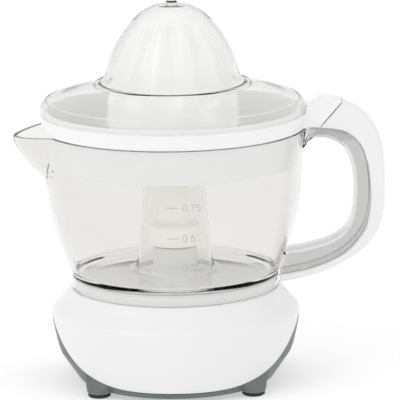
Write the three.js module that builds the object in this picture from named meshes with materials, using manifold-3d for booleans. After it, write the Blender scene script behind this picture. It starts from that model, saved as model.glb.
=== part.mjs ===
// Citrus press juicer: a motor base, a clear jug with a handle, a strainer, a ribbed cone and a clear lid.
// Millimetres, +Z up. The spout points to -X and the handle to +X.
// Everything is drawn around the drive axis; the last group shifts it so that the origin is
// the centre of the footprint on the table.

import * as THREE from 'three';
import { mergeVertices } from 'three/addons/utils/BufferGeometryUtils.js';
import Module from 'manifold-3d';

const wasm = await Module();
wasm.setup();

// ---------------------------------------------------------------- driving dimensions

const GAP = 0.4;                    // air between pieces that would touch
const STEPS = 32;                   // steps round a plain turned piece
const TAU = 2 * Math.PI;
const DEG = Math.PI / 180;

// overall plan
const SPOUT_OUT = 96.4;             // axis to the tip of the spout
const HANDLE_OUT = 127.2;           // axis to the back of the handle

// base
const FOOT_H = 1.9;
const FOOT_R = 6.8;
const FOOT_AT = 46;                 // foot centres, along X and along Y
const CORNERS = [[1, 1], [-1, 1], [-1, -1], [1, -1]];
const POD_BOTTOM = FOOT_H + GAP;
const POD_H = 12;
const POD_TOP = 13.7;               // the legs are cut level here, inside the hull
const POD_R = 7.3;                  // a leg at its foot
const POD_TOP_R = 13;
const POD_LEAN = 4;                 // how far a leg's top leans in towards the axis
const POD_PROUD = 6;                // how far a leg stands out of the hull at its foot
const FLOOR_Z = 4;                  // underside of the lower shell
const FLOOR_T = 2;
const SHOULDER_R = 75.3;
const SHOULDER_Z = 41.5;
const FLARE = 8.6;                  // how much narrower the base is at its floor
const KEEL_Z = 6.5;                 // lowest edge of the white housing, front and back
const KEEL_RISE = 34;               // how far that edge climbs towards the sides
const TUCK = 6.5;                   // how far the lower shell tucks in at the sides
const TUCK_Z = 19;
const WALL = 2.4;
const LEDGE_Z = 57.2;               // the jug stands here
const LEDGE_R = 63.4;
const PLATEAU_Z = 62.4;
const PLATEAU_R = 59;

// drive tower and spindle
const TOWER_R = 13;
const TOWER_TOP = 82;
const BUSH_R = 10.1;
const BUSH_Z = [70, 80];
const SPINDLE_JOURNAL_R = 8;
const SPINDLE_STEM_R = 9;
const SPINDLE_SHOULDER_Z = 146.6;
const SPINDLE_TOP = 195;
const HEX_LOW = 4.2;                // half the width across flats, in the output gear
const HEX_TOP = 5.2;                // the same, in the cone
const BELL_R = 15.5;
const BELL_Z = 81.6;

// gear train: motor pinion - idler wheel, idler pinion - output gear
const OUTPUT = { teeth: 60, module: 1.0, z: [37, 44] };
const IDLER_PINION = { teeth: 12, module: 1.0, z: [35, 45.5] };
const IDLER_WHEEL = { teeth: 50, module: 0.8, z: [30, 35] };
const MOTOR_PINION = { teeth: 10, module: 0.8, z: [30, 35.4] };
const BACKLASH = 0.3;
const IDLER_REACH = (OUTPUT.teeth + IDLER_PINION.teeth) * OUTPUT.module / 2;
const MOTOR_MESH = (IDLER_WHEEL.teeth + MOTOR_PINION.teeth) * IDLER_WHEEL.module / 2;
const MOTOR_REACH = 31;             // drive axis to motor shaft, straight back
const IDLER_TURN = Math.acos((IDLER_REACH ** 2 + MOTOR_REACH ** 2 - MOTOR_MESH ** 2)
  / (2 * IDLER_REACH * MOTOR_REACH));
const IDLER_ANGLE = Math.PI / 2 + IDLER_TURN;
const MOTOR_AT = [0, MOTOR_REACH];
const IDLER_AT = [IDLER_REACH * Math.cos(IDLER_ANGLE), IDLER_REACH * Math.sin(IDLER_ANGLE)];
const PLATE_Z = [26, 28.5];
const COVER_Z = [28.9, 49.4];
const AXLE_R = 2;

// motor
const CORE_Z = [12, 21];
const ROTOR_R = 9.6;
const MOTOR_SHAFT_R = 1.5;

// fasteners
const BOSS_REACH = 52;
const BOSS_TURNS = [20, 200, 270];
const POST_REACH = 38.5;
const POST_TURNS = [0, 215, 270];

// jug
const JUG_WALL = 2.3;
const JUG_FOOT_Z = LEDGE_Z + GAP;
const JUG_RIM_R = 79.5;
const JUG_RIM_Z = 154.6;
const JUG_FLOOR_Z = [63.6, 67.9];
const COLUMN_TOP = 141;
const COLUMN_R = 16.2;              // clear bore of the column
const SPOUT_WIDTH = 26 * DEG;       // half angle of the spout at the rim
const SPOUT_DEPTH = 30;
const SPOUT_DROP = 3.8;
const HANDLE_HALF = 9;              // half width of the clear grip
const COVER_HALF = 10.5;            // half width of the white cover

// strainer, cone and lid
const RIM_BAND_R = 79.3;
const BAND_TOP = 163.5;
const BOWL_FLOOR_Z = 137;
const SLOTS = 16;
const CONE_SKIRT_R = 39.6;
const CONE_EDGE_Z = 156.6;
const CONE_TOP = 224.8;
const FLUTES = 10;
const FLUTE_DEPTH = 3.4;
const LID_R = 79.8;
const LID_EDGE_Z = BAND_TOP + GAP;
const LID_TOP = 230;
const LID_WALL = 2;

// ---------------------------------------------------------------- materials

const finish = (color, roughness, metalness = 0, opacity = 1) => () => new THREE.MeshStandardMaterial({
  color, roughness, metalness, opacity, transparent: opacity < 1,
});
const whitePlastic = finish(0xf1f1f0, 0.35);
const greyPlastic = finish(0x767e7c, 0.5);
const creamPlastic = finish(0xeae6d8, 0.4);
const clearPlastic = finish(0xe4e4de, 0.08, 0, 0.35);
const rubber = finish(0x151515, 0.85);
const steel = finish(0xb4b6b8, 0.35, 1);
const iron = finish(0x5b5d60, 0.5, 0.9);
const brass = finish(0xb8924a, 0.35, 1);
const copper = finish(0xb0643a, 0.4, 1);
const blackPlastic = finish(0x222324, 0.5);

// ---------------------------------------------------------------- geometry helpers

// A closed body swept once round the axis. profileAt(angle) gives the [radius, height] points of a
// section, in order round the material; points at radius 0 join up on the axis.
function turned(profileAt, angles = evenAngles(STEPS)) {
  const rows = angles.map((a) => profileAt(a).map(([r, z]) => [r * Math.cos(a), r * Math.sin(a), z]));
  const count = rows[0].length;
  const positions = rows.flat(2);
  const triangles = [];
  for (let i = 0; i < rows.length; i++) {
    const next = (i + 1) % rows.length;
    for (let k = 0; k < count; k++) {
      const k2 = (k + 1) % count;
      const [a, b, c, d] = [i * count + k, next * count + k, next * count + k2, i * count + k2];
      triangles.push([a, b, c], [a, c, d]);
    }
  }
  return cleaned(positions, triangles);
}

function evenAngles(steps) {
  return Array.from({ length: steps }, (_, i) => i * TAU / steps);
}

// Merges equal points, drops empty triangles and turns the faces outwards.
function cleaned(positions, triangles) {
  const raw = new THREE.BufferGeometry();
  raw.setAttribute('position', new THREE.Float32BufferAttribute(positions, 3));
  raw.setIndex(triangles.flat());
  const merged = mergeVertices(raw, 1e-4);
  const index = Array.from(merged.index.array);
  const kept = [];
  for (let i = 0; i < index.length; i += 3) {
    const [a, b, c] = index.slice(i, i + 3);
    if (a !== b && b !== c && a !== c) kept.push(a, b, c);
  }
  merged.setIndex(volume(merged.attributes.position, kept) < 0 ? kept.reverse() : kept);
  return merged;
}

function volume(position, index) {
  const [a, b, c] = [new THREE.Vector3(), new THREE.Vector3(), new THREE.Vector3()];
  let sum = 0;
  for (let i = 0; i < index.length; i += 3) {
    a.fromBufferAttribute(position, index[i]);
    b.fromBufferAttribute(position, index[i + 1]);
    c.fromBufferAttribute(position, index[i + 2]);
    sum += a.dot(b.cross(c));
  }
  return sum;
}

function toSolid(geometry) {
  const bare = geometry.clone();
  bare.deleteAttribute('normal');
  bare.deleteAttribute('uv');
  const merged = mergeVertices(bare, 1e-4);
  return new wasm.Manifold(new wasm.Mesh({
    numProp: 3,
    vertProperties: new Float32Array(merged.attributes.position.array),
    triVerts: new Uint32Array(merged.index.array),
  }));
}

function fromSolid(solid) {
  const mesh = solid.getMesh();
  const geometry = new THREE.BufferGeometry();
  geometry.setAttribute('position', new THREE.BufferAttribute(mesh.vertProperties, 3));
  geometry.setIndex(new THREE.BufferAttribute(mesh.triVerts, 1));
  return geometry;
}

// Joins the first list of geometries and cuts the second list away.
function carved(joined, cuts = []) {
  let solid = joined.map(toSolid).reduce((all, one) => all.add(one));
  for (const cut of cuts) solid = solid.subtract(toSolid(cut));
  return fromSolid(solid);
}

const overlapOf = (a, b) => fromSolid(toSolid(a).intersect(toSolid(b)));

function cylinder(radius, z0, z1, x = 0, y = 0, steps = 16) {
  const geometry = new THREE.CylinderGeometry(radius, radius, z1 - z0, steps);
  geometry.rotateX(Math.PI / 2);
  geometry.translate(x, y, (z0 + z1) / 2);
  return geometry;
}

function block(x0, x1, y0, y1, z0, z1) {
  const geometry = new THREE.BoxGeometry(x1 - x0, y1 - y0, z1 - z0);
  geometry.translate((x0 + x1) / 2, (y0 + y1) / 2, (z0 + z1) / 2);
  return geometry;
}

// A plate: an outline in X and Y with holes, between two heights.
function plate(points, z0, z1, holes = []) {
  const shape = new THREE.Shape(points.map(([x, y]) => new THREE.Vector2(x, y)));
  for (const hole of holes) shape.holes.push(new THREE.Path(hole.map(([x, y]) => new THREE.Vector2(x, y))));
  const geometry = new THREE.ExtrudeGeometry(shape, { depth: z1 - z0, bevelEnabled: false });
  geometry.translate(0, 0, z0);
  return geometry;
}

// An outline in X and Z, centred on Y = 0.
function slab(points, half) {
  const geometry = plate(points, -half, half);
  geometry.rotateX(Math.PI / 2);
  return geometry;
}

const circle = (radius, x = 0, y = 0, steps = 20) => evenAngles(steps)
  .map((a) => [x + radius * Math.cos(a), y + radius * Math.sin(a)]);

const ring = (inner, outer, z0, z1, steps = STEPS) => turned(
  () => [[inner, z0], [outer, z0], [outer, z1], [inner, z1]], evenAngles(steps));

const hexRadius = (apothem, a) => apothem / Math.cos(((a % (TAU / 6)) + TAU / 6) % (TAU / 6) - TAU / 12);

const smooth = (points, count) => new THREE.SplineCurve(points.map(([x, y]) => new THREE.Vector2(x, y)))
  .getPoints(count).map((p) => [p.x, p.y]);

// Convex outline round a set of circles [x, y, radius].
function hullOf(circles, steps = 30) {
  return evenAngles(steps).map((a) => {
    const reach = ([x, y, r]) => x * Math.cos(a) + y * Math.sin(a) + r;
    const [x, y, r] = circles.reduce((best, c) => (reach(c) > reach(best) ? c : best));
    return [x + r * Math.cos(a), y + r * Math.sin(a)];
  });
}

const polar = (reach, degrees) => [reach * Math.cos(degrees * DEG), reach * Math.sin(degrees * DEG)];

// ---------------------------------------------------------------- gears

// Involute outline with 20 degree pressure angle; one tooth points along `phase`.
function gearOutline({ teeth, module }, phase) {
  const pitch = teeth * module / 2;
  const base = pitch * Math.cos(20 * DEG);
  const tip = pitch + 0.85 * module;
  const root = pitch - 1.15 * module;
  const involute = (r) => {
    const angle = Math.acos(Math.min(1, base / r));
    return Math.tan(angle) - angle;
  };
  const halfPitch = Math.PI / (2 * teeth) - BACKLASH / 4 / pitch;
  const halfWidth = (r) => halfPitch + involute(pitch) - involute(Math.max(r, base));
  const stations = teeth > 20 ? [root, tip] : [root, Math.max(root, base), pitch, tip];
  const flank = stations.filter((r, i, all) => i === 0 || r > all[i - 1]);
  const points = [];
  for (let t = 0; t < teeth; t++) {
    const centre = phase + t * TAU / teeth;
    for (const r of flank) points.push([r, centre - halfWidth(r)]);
    for (const r of [...flank].reverse()) points.push([r, centre + halfWidth(r)]);
  }
  return points.map(([r, a]) => [r * Math.cos(a), r * Math.sin(a)]);
}

const toMotor = Math.atan2(MOTOR_AT[1] - IDLER_AT[1], MOTOR_AT[0] - IDLER_AT[0]);

function outputGear() {
  const hex = (steps) => evenAngles(steps).map((a) => {
    const r = hexRadius(HEX_LOW + GAP, a);
    return [r * Math.cos(a), r * Math.sin(a)];
  });
  const wheel = plate(gearOutline(OUTPUT, IDLER_ANGLE), ...OUTPUT.z, [hex(12)]);
  const hub = plate(circle(7.6, 0, 0, 24), 25.6, 46.2, [hex(12)]);
  return carved([wheel, hub]);
}

function idlerGear() {
  const bore = circle(AXLE_R + GAP, 0, 0, 16);
  const wheel = plate(gearOutline(IDLER_WHEEL, toMotor), ...IDLER_WHEEL.z, [bore]);
  const pinionPhase = IDLER_ANGLE + Math.PI + Math.PI / IDLER_PINION.teeth;
  const [low, high] = IDLER_PINION.z;
  const pinion = plate(gearOutline(IDLER_PINION, pinionPhase), low - 1, high, [bore]);
  return carved([wheel, pinion]);
}

function motorPinion() {
  const phase = toMotor + Math.PI + Math.PI / MOTOR_PINION.teeth;
  return plate(gearOutline(MOTOR_PINION, phase), ...MOTOR_PINION.z, [circle(MOTOR_SHAFT_R + GAP, 0, 0, 12)]);
}

// ---------------------------------------------------------------- base shells

// 0 at the front and the back, a quarter turn at the sides.
const frontTurn = (a) => Math.asin(Math.abs(Math.cos(a)));
const keelAt = (a) => Math.min(SHOULDER_Z - 1, KEEL_Z + KEEL_RISE * (frontTurn(a) / (80 * DEG)) ** 3.5);
const baseR = (z) => SHOULDER_R - FLARE * Math.max(0, (SHOULDER_Z - z) / 37.5) ** 1.25;
const hullR = (a, z) => baseR(z) - TUCK * Math.cos(a) ** 2 * Math.max(0, (TUCK_Z - z) / (TUCK_Z - FLOOR_Z));

function housingSection(a) {
  const edge = keelAt(a);
  const heights = [0, 0.5, 1].map((t) => edge + t * (SHOULDER_Z - edge));
  const outer = heights.map((z) => [baseR(z), z]);
  const inner = [...heights].reverse().map((z) => [baseR(z) - WALL, z]);
  return [
    ...outer,
    [SHOULDER_R - 1.1, SHOULDER_Z + 3], [67.8, 52], [LEDGE_R, LEDGE_Z],
    [PLATEAU_R, LEDGE_Z], [PLATEAU_R, PLATEAU_Z],
    [16.5, PLATEAU_Z + 0.6], [TOWER_R + 0.3, 66], [TOWER_R, TOWER_TOP],
    [BUSH_R + 0.3, TOWER_TOP], [BUSH_R + 0.3, BUSH_Z[0] - GAP], [9.4, BUSH_Z[0] - GAP],
    [9.4, PLATEAU_Z - WALL], [PLATEAU_R - WALL, PLATEAU_Z - WALL], [PLATEAU_R - WALL, LEDGE_Z - WALL],
    [LEDGE_R - 1.4, LEDGE_Z - WALL], [65.9, 50.6],
    ...inner,
  ];
}

const GLAND_TURN = 60;
const GLAND_Z = 16;
const GLAND_R = 4.3;
const GLAND_TILT = 14.6 * DEG;      // square to the leaning wall

// Turns a piece made along Z so that it points out of the base at the cord inlet.
function atGland(geometry) {
  geometry.rotateY(Math.PI / 2 + GLAND_TILT);
  geometry.rotateZ(GLAND_TURN * DEG);
  geometry.translate(...polar(baseR(GLAND_Z), GLAND_TURN), GLAND_Z);
  return geometry;
}

function baseHousing() {
  const shell = turned(housingSection);
  const at = BOSS_TURNS.map((turn) => polar(BOSS_REACH, turn));
  const bosses = at.map(([x, y]) => cylinder(3.6, 10.8, PLATEAU_Z - WALL + 1, x, y, 16));
  const pilots = at.map(([x, y]) => cylinder(1.9, 10, 24, x, y, 12));
  const inlet = atGland(cylinder(GLAND_R + GAP, -8, 8));
  return carved([shell, ...bosses], [...pilots, inlet]);
}

function lowerShell() {
  const section = (a) => {
    const top = keelAt(a) - GAP;
    const heights = [0, 0.45, 1].map((t) => FLOOR_Z + t * (top - FLOOR_Z));
    const floorTop = FLOOR_Z + FLOOR_T;
    const outer = heights.map((z) => [hullR(a, z), z]);
    const inner = [...heights].reverse().map((z) => [hullR(a, z) - WALL - 0.3, Math.max(z, floorTop)]);
    return [...outer, ...inner, [0, floorTop], [0, FLOOR_Z]];
  };
  const hull = turned(section);
  const envelope = turned((a) => {
    const edge = Math.min(POD_TOP - 0.5, keelAt(a) - GAP);
    return [
      [0, POD_BOTTOM - 0.2], [baseR(POD_BOTTOM) + POD_PROUD, POD_BOTTOM - 0.2], [baseR(edge) - 0.5, edge],
      [baseR(POD_TOP) - 0.5, POD_TOP], [0, POD_TOP],
    ];
  });
  const pods = CORNERS.map(([sx, sy]) => overlapOf(envelope, footPod(sx, sy)));
  const at = BOSS_TURNS.map((turn) => polar(BOSS_REACH, turn));
  const bosses = at.map(([x, y]) => cylinder(5, FLOOR_Z, 10.4, x, y, 16));
  const postTop = PLATE_Z[0] - GAP;
  const posts = POST_TURNS.map((turn) => cylinder(3.6, FLOOR_Z + 1, postTop, ...polar(POST_REACH, turn), 14));
  const cradle = [[10.5, 12], [-12, -10.5]].map(([x0, x1]) => block(x0, x1, -5, 5, FLOOR_Z + 1, 12));
  const beyond = 90;
  const housingEdge = turned((a) => {
    const low = keelAt(a) - GAP;
    return [[baseR(keelAt(a)) - WALL - 1, low], [beyond, low], [beyond, 60], [baseR(60) - WALL - 1, 60]];
  });
  const cuts = [
    housingEdge,
    ...at.map(([x, y]) => cylinder(3.3, 3, 7.8, x, y, 16)),
    ...at.map(([x, y]) => cylinder(1.9, 3, 11, x, y, 12)),
    ...POST_TURNS.map((turn) => cylinder(1.6, 12, PLATE_Z[0], ...polar(POST_REACH, turn), 12)),
    ...[-2, -1, 0, 1, 2].map((i) => block(-14, 14, 36 + i * 6 - 1.2, 36 + i * 6 + 1.2, 3, 8)),
  ];
  return carved([hull, ...pods, ...bosses, ...posts, ...cradle], cuts);
}

// A short leg that widens upwards into the hull.
function footPod(sx, sy) {
  const geometry = new THREE.CylinderGeometry(POD_TOP_R, POD_R, POD_H, 20);
  geometry.rotateX(Math.PI / 2);
  const position = geometry.attributes.position;
  for (let i = 0; i < position.count; i++) {
    const lean = position.getZ(i) > 0 ? -POD_LEAN : 0;
    position.setXY(i, position.getX(i) + sx * (FOOT_AT + lean), position.getY(i) + sy * (FOOT_AT + lean));
  }
  geometry.translate(0, 0, POD_BOTTOM + POD_H / 2);
  return geometry;
}

function foot(sx, sy) {
  const pad = turned(() => [
    [0, 0], [FOOT_R - 0.6, 0], [FOOT_R, 0.6], [FOOT_R, FOOT_H], [0, FOOT_H],
  ], evenAngles(20));
  pad.translate(sx * FOOT_AT, sy * FOOT_AT, 0);
  return pad;
}

function cordGland() {
  const flange = GLAND_R + 2.2;
  return atGland(turned(() => [
    [2.6, 4], [flange - 0.8, 4], [flange, 2.8], [flange, 0.9], [GLAND_R, 0.9], [GLAND_R, -3.2],
    [flange - 0.6, -3.2], [flange - 0.6, -5], [2.6, -5],
  ], evenAngles(20)));
}

// ---------------------------------------------------------------- gearbox and motor

function gearPlate() {
  const outline = hullOf([[0, 0, 42], [...IDLER_AT, 24.5], [...MOTOR_AT, 18.5]]);
  const holes = [
    circle(8.1, 0, 0, 24),
    circle(MOTOR_SHAFT_R + GAP, ...MOTOR_AT, 12),
    circle(AXLE_R + 0.3, ...IDLER_AT, 16),
    ...POST_TURNS.map((turn) => circle(1.9, ...polar(POST_REACH, turn), 12)),
  ];
  const sheet = plate(outline, ...PLATE_Z, holes);
  const [x, y] = MOTOR_AT;
  const standoffs = [-14, 14].map((side) => cylinder(3.2, CORE_Z[1] + GAP, PLATE_Z[0] + 1, x + side, y, 14));
  const screwHoles = [-14, 14].map((side) => cylinder(1.9, 20, 30, x + side, y, 12));
  return carved([sheet, ...standoffs], screwHoles);
}

function gearboxCover() {
  const circles = (grow) => [[0, 0, 32.4 + grow], [...IDLER_AT, 21.8 + grow], [...MOTOR_AT, 5.6 + grow]];
  const box = plate(hullOf(circles(2)), ...COVER_Z);
  const cavity = plate(hullOf(circles(0)), COVER_Z[0] - 1, COVER_Z[1] - 2);
  const spindleHole = cylinder(9.4, 40, 60, 0, 0, 24);
  const axleHole = cylinder(AXLE_R + 0.3, 40, 60, ...IDLER_AT, 16);
  return carved([box], [cavity, spindleHole, axleHole]);
}

function motorCore() {
  const [low, high] = CORE_Z;
  const outline = [[-17, -12.6], [17, -12.6], [17, 8], [12, 22.6], [-12, 22.6], [-17, 8]];
  const window = [[-10.4, 11.8], [10.4, 11.8], [10.4, 17.4], [-10.4, 17.4]];
  const bores = [circle(ROTOR_R + 0.5, 0, 0, 28), circle(1.9, -14, 0, 12), circle(1.9, 14, 0, 12)];
  return plate(outline, low, high, [window, ...bores]);
}

// A square tube round the outer leg of the core, long along X.
function legTube(half, inset, outset) {
  const [y0, y1, z0, z1] = [17.4, 22.6, CORE_Z[0], CORE_Z[1]];
  const outer = block(-half, half, y0 - outset, y1 + outset, z0 - outset, z1 + outset);
  const inner = block(-half - 1, half + 1, y0 - inset, y1 + inset, z0 - inset, z1 + inset);
  return { outer, inner };
}

function motorBobbin() {
  const tube = legTube(9.4, GAP, 1.2);
  const flange = (x) => block(x - 0.5, x + 0.5, 12.5, 27.4, 7.5, 25.5);
  return carved([tube.outer, flange(-8.9), flange(8.9)], [tube.inner]);
}

function motorCoil() {
  const winding = legTube(8, 1.6, 4.2);
  return carved([winding.outer], [winding.inner]);
}

function motorBracket() {
  const strip = block(-17.5, 17.5, -4, 4, 9.4, 10.5);
  const pads = [-14, 14].map((x) => cylinder(3.2, 10, CORE_Z[0] - GAP, x, 0, 12));
  const holes = [-14, 14].map((x) => cylinder(1.9, 8, 13, x, 0, 12));
  return carved([strip, ...pads], [...holes, cylinder(MOTOR_SHAFT_R + GAP, 7, 11, 0, 0, 12)]);
}

const rotor = () => turned(() => [
  [0, 7.8], [MOTOR_SHAFT_R, 7.8], [MOTOR_SHAFT_R, 11], [ROTOR_R, 11], [ROTOR_R, 22],
  [MOTOR_SHAFT_R, 22], [MOTOR_SHAFT_R, 36], [0, 36],
], evenAngles(28));

// A pan head screw: the head's outer face at z, its shank running along `way` (1 up, -1 down).
function screw(x, y, z, way, shank, headR = 2.8) {
  const geometry = turned(() => [
    [0, 0.9], [0.9, 0.9], [0.9, 0], [headR - 0.5, 0], [headR, 0.7], [headR, 2.2], [1.45, 2.2],
    [1.45, shank], [0, shank],
  ], evenAngles(10));
  if (way < 0) geometry.rotateX(Math.PI);
  geometry.translate(x, y, z);
  return geometry;
}

function switchBody() {
  const pins = [-6, 0, 6].map((x) => block(x - 1.6, x + 1.6, 2.5, 7, 8.4, 9.2));
  return carved([block(-10, 10, -3.2, 3.2, 6.9, 17), ...pins], [cylinder(2.1, 11, 18, 0, 0, 16)]);
}

// ---------------------------------------------------------------- spindle

function spindle() {
  const section = (a) => [
    [0, 21.6], [hexRadius(HEX_LOW, a), 21.6], [hexRadius(HEX_LOW, a), 59.8],
    [SPINDLE_JOURNAL_R, 59.8], [SPINDLE_JOURNAL_R, 85.4], [TOWER_R + 0.7, 85.4], [TOWER_R + 0.7, BELL_Z],
    [BELL_R, BELL_Z], [BELL_R, 93], [BELL_R - 1.2, 95], [SPINDLE_STEM_R + 0.4, 96.4],
    [SPINDLE_STEM_R, 98], [SPINDLE_STEM_R - 0.6, SPINDLE_SHOULDER_Z],
    [hexRadius(HEX_TOP, a), SPINDLE_SHOULDER_Z], [hexRadius(HEX_TOP, a), SPINDLE_TOP - 1.5],
    [hexRadius(HEX_TOP - 1.2, a), SPINDLE_TOP], [0, SPINDLE_TOP],
  ];
  return turned(section, evenAngles(24));
}

const towerBush = () => ring(SPINDLE_JOURNAL_R + 0.35, BUSH_R, ...BUSH_Z, 24);

function returnSpring() {
  const [z0, z1, turns, mean, wire] = [47.2, 58.8, 4, 6.6, 0.55];
  class Helix extends THREE.Curve {
    getPoint(t, target = new THREE.Vector3()) {
      const a = t * turns * TAU;
      return target.set(mean * Math.cos(a), mean * Math.sin(a), z0 + t * (z1 - z0));
    }
  }
  const section = new THREE.Shape(circle(wire, 0, 0, 6).map(([x, y]) => new THREE.Vector2(x, y)));
  const options = { steps: turns * 10, extrudePath: new Helix(), bevelEnabled: false };
  return new THREE.ExtrudeGeometry(section, options);
}

// ---------------------------------------------------------------- jug and handle

const jugOutline = smooth([
  [62.3, 67], [67.1, 80], [72.8, 97.5], [76.0, 115], [77.4, 135], [JUG_RIM_R, JUG_RIM_Z],
], 7);

// How far the spout stands out of the round wall, at an angle and height.
function spoutBulge(a, z) {
  const off = Math.abs(a - Math.PI) / SPOUT_WIDTH;
  if (off >= 1) return 0;
  const across = 1 - off ** 1.3;
  const down = Math.max(0, (JUG_RIM_Z - 2.6 - z) / SPOUT_DEPTH) ** 1.6;
  return (SPOUT_OUT - JUG_RIM_R) * Math.max(0, across - down);
}

function jugSection(a) {
  const off = Math.min(1, Math.abs(a - Math.PI) / SPOUT_WIDTH);
  const drop = SPOUT_DROP * (1 - off ** 1.3);
  const lower = (z) => z - drop * Math.max(0, (z - 125) / (JUG_RIM_Z - 125));
  const outer = jugOutline.map(([r, z]) => [r + spoutBulge(a, z), lower(z)]);
  const inner = jugOutline.slice(1).reverse().map(([r, z]) => [r - JUG_WALL + spoutBulge(a, z), lower(z)]);
  return [
    [62.3, JUG_FOOT_Z], ...outer, ...inner,
    [57.8, JUG_FLOOR_Z[1]], [27, JUG_FLOOR_Z[1]], [24, 69.5], [22.6, 74], [18.4, 119],
    [COLUMN_R + 1.8, COLUMN_TOP],
    [COLUMN_R, COLUMN_TOP], [COLUMN_R + 0.2, 119], [20.4, 74], [23, JUG_FLOOR_Z[0]],
    [59.9, JUG_FLOOR_Z[0]], [59.9, JUG_FOOT_Z],
  ];
}

function jugAngles() {
  const count = 6;
  const fine = SPOUT_WIDTH / count;
  const coarse = (TAU - 2 * SPOUT_WIDTH) / 27;
  const around = Array.from({ length: 28 }, (_, i) => Math.PI + SPOUT_WIDTH + i * coarse);
  const lip = Array.from({ length: 2 * count - 1 }, (_, i) => Math.PI + (i - count + 1) * fine);
  const wrap = (a) => (a + TAU) % TAU;
  return [...around, ...lip].map(wrap).sort((p, q) => p - q);
}

// Inner edge of the grip, the line where the clear grip meets the white cover, and the cover's back.
const GRIP_INSIDE = [[77, 141.3], [81.5, 147.7], [92.3, 147.8], [102.4, 141.6], [107.4, 127], [107.7, 107.2],
  [104, 93.1], [94.3, 85.2], [80, 80.8], [66.5, 78.6]];
const GRIP_OUTSIDE = [[75, 154.3], [87.5, 154.3], [104.3, 151.3], [114.4, 139.6], [117.9, 121], [117.6, 103],
  [113.6, 89.9], [102.1, 77.1], [83.9, 68.7], [62.9, 64.2]];
const COVER_BACK = [[101.8, 170.1], [112.7, 164], [122.2, 152.9], [126.4, 138], [HANDLE_OUT, 119],
  [126.2, 101], [120.5, 87], [111.1, 77.2], [93, 67.3], [76, 61.9], [63.2, 59.9]];
const GRIP_WALL = 2.2;

// Points of an outline moved sideways, to the left of its direction.
function offset(points, distance) {
  return points.map(([x, y], i) => {
    const [x0, y0] = points[Math.max(0, i - 1)];
    const [x1, y1] = points[Math.min(points.length - 1, i + 1)];
    const length = Math.hypot(x1 - x0, y1 - y0);
    return [x - distance * (y1 - y0) / length, y + distance * (x1 - x0) / length];
  });
}

function gripShape() {
  const wallSide = [[61.4, 64.2], [61.6, 68]];
  const upperWall = [[76.2, 154], [75.6, 141.3]];
  return [...smooth(GRIP_OUTSIDE, 22), ...wallSide, ...smooth([...GRIP_INSIDE].reverse(), 22), ...upperWall];
}

function jug() {
  const vessel = turned(jugSection, jugAngles());
  const grip = slab(gripShape(), HANDLE_HALF);
  const inside = smooth(GRIP_INSIDE.slice(2, -1), 16);
  const floor = offset(inside, GRIP_WALL);
  const mouth = offset(smooth(GRIP_OUTSIDE.slice(1, -1), 18), 3);
  const pocket = slab([...floor, ...mouth.reverse()], HANDLE_HALF - GRIP_WALL);
  const hollow = jugOutline.map(([r, z]) => [r - 1.2, z]);
  const bore = turned(() => [[0, 69], ...hollow, [JUG_RIM_R - 1.2, 160], [0, 160]]);
  const outsideOnly = carved([grip], [bore, pocket]);
  return carved([vessel, outsideOnly]);
}

function handleCover() {
  const seam = [[94.2, 160.9], [101.2, 168.6]];
  const inner = [[88.4, 154.8], ...offset(smooth(GRIP_OUTSIDE.slice(1), 20), GAP).slice(1)];
  const back = smooth(COVER_BACK, 24);
  const tip = [[63.4, 63.4]];
  return slab([...back, ...tip, ...inner.reverse(), ...seam], COVER_HALF);
}

// ---------------------------------------------------------------- strainer, cone and lid

function strainerSection() {
  return [
    [76.4, JUG_RIM_Z + GAP], [RIM_BAND_R, JUG_RIM_Z + GAP], [RIM_BAND_R, BAND_TOP], [76.9, BAND_TOP],
    [76.9, BAND_TOP + 3], [75.3, BAND_TOP + 3], [73.4, 150], [72.2, BOWL_FLOOR_Z + 2], [70, BOWL_FLOOR_Z],
    [24, BOWL_FLOOR_Z - 0.6], [21.2, BOWL_FLOOR_Z + 1], [20.8, 147.4], [12.8, 147.8], [12.8, 151],
    [10.8, 151], [10.8, 145.6], [18.9, 145.6], [18.9, 129], [20.8, 129], [22, BOWL_FLOOR_Z - 2.6],
    [69.5, BOWL_FLOOR_Z - 2], [72.4, 133.4], [74.2, 133.4], [75.0, 147],
  ];
}

// The tab seen from above: straight sides that run into the round band in two fillets.
function tabPlan() {
  const fillet = 8;
  const away = COVER_HALF + fillet;
  const reach = Math.sqrt((RIM_BAND_R + fillet) ** 2 - away ** 2);
  const meets = Math.atan2(away, reach);
  const arc = [0, 0.25, 0.5, 0.75, 1].map((t) => {
    const a = -Math.PI / 2 + t * (meets - Math.PI / 2);
    return [reach + fillet * Math.cos(a), away + fillet * Math.sin(a)];
  });
  const upper = [[110, COVER_HALF], ...arc, [RIM_BAND_R - 6, arc.at(-1)[1]]];
  return [...upper, ...[...upper].reverse().map(([x, y]) => [x, -y])];
}

// Thumb tab that reaches from the strainer's band to the top of the handle.
function thumbTab() {
  const top = smooth([[78, 166.5], [82.3, 167.4], [86.5, 170.2], [91, 172.2], [96, 171], [101, 170.2]], 12);
  const underside = JUG_RIM_Z + GAP;
  const side = slab([...top, [93.8, 161.4], [87.6, underside], [77.2, underside]], 2 * COVER_HALF);
  const tab = overlapOf(side, plate(tabPlan(), JUG_RIM_Z, 175));
  const room = [LID_R + 0.8, BAND_TOP + 0.1];
  const lidEdge = turned(() => [[0, room[1]], room, [room[0], 190], [0, 190]]);
  return carved([tab], [lidEdge]);
}

function strainer() {
  const bowl = turned(strainerSection);
  const slots = Array.from({ length: SLOTS }, (_, i) => {
    const slot = block(44, 67, -1.2, 1.2, BOWL_FLOOR_Z - 6, BOWL_FLOOR_Z + 4);
    slot.rotateZ((i + 0.5) * TAU / SLOTS);
    return slot;
  });
  return carved([bowl, thumbTab()], slots);
}

const coneOutline = smooth([[39.3, 170], [36.6, 181], [34.7, 189], [31.2, 198], [25.3, 209.3], [18.5, 217.5],
  [9, 223.2]], 6);

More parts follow.
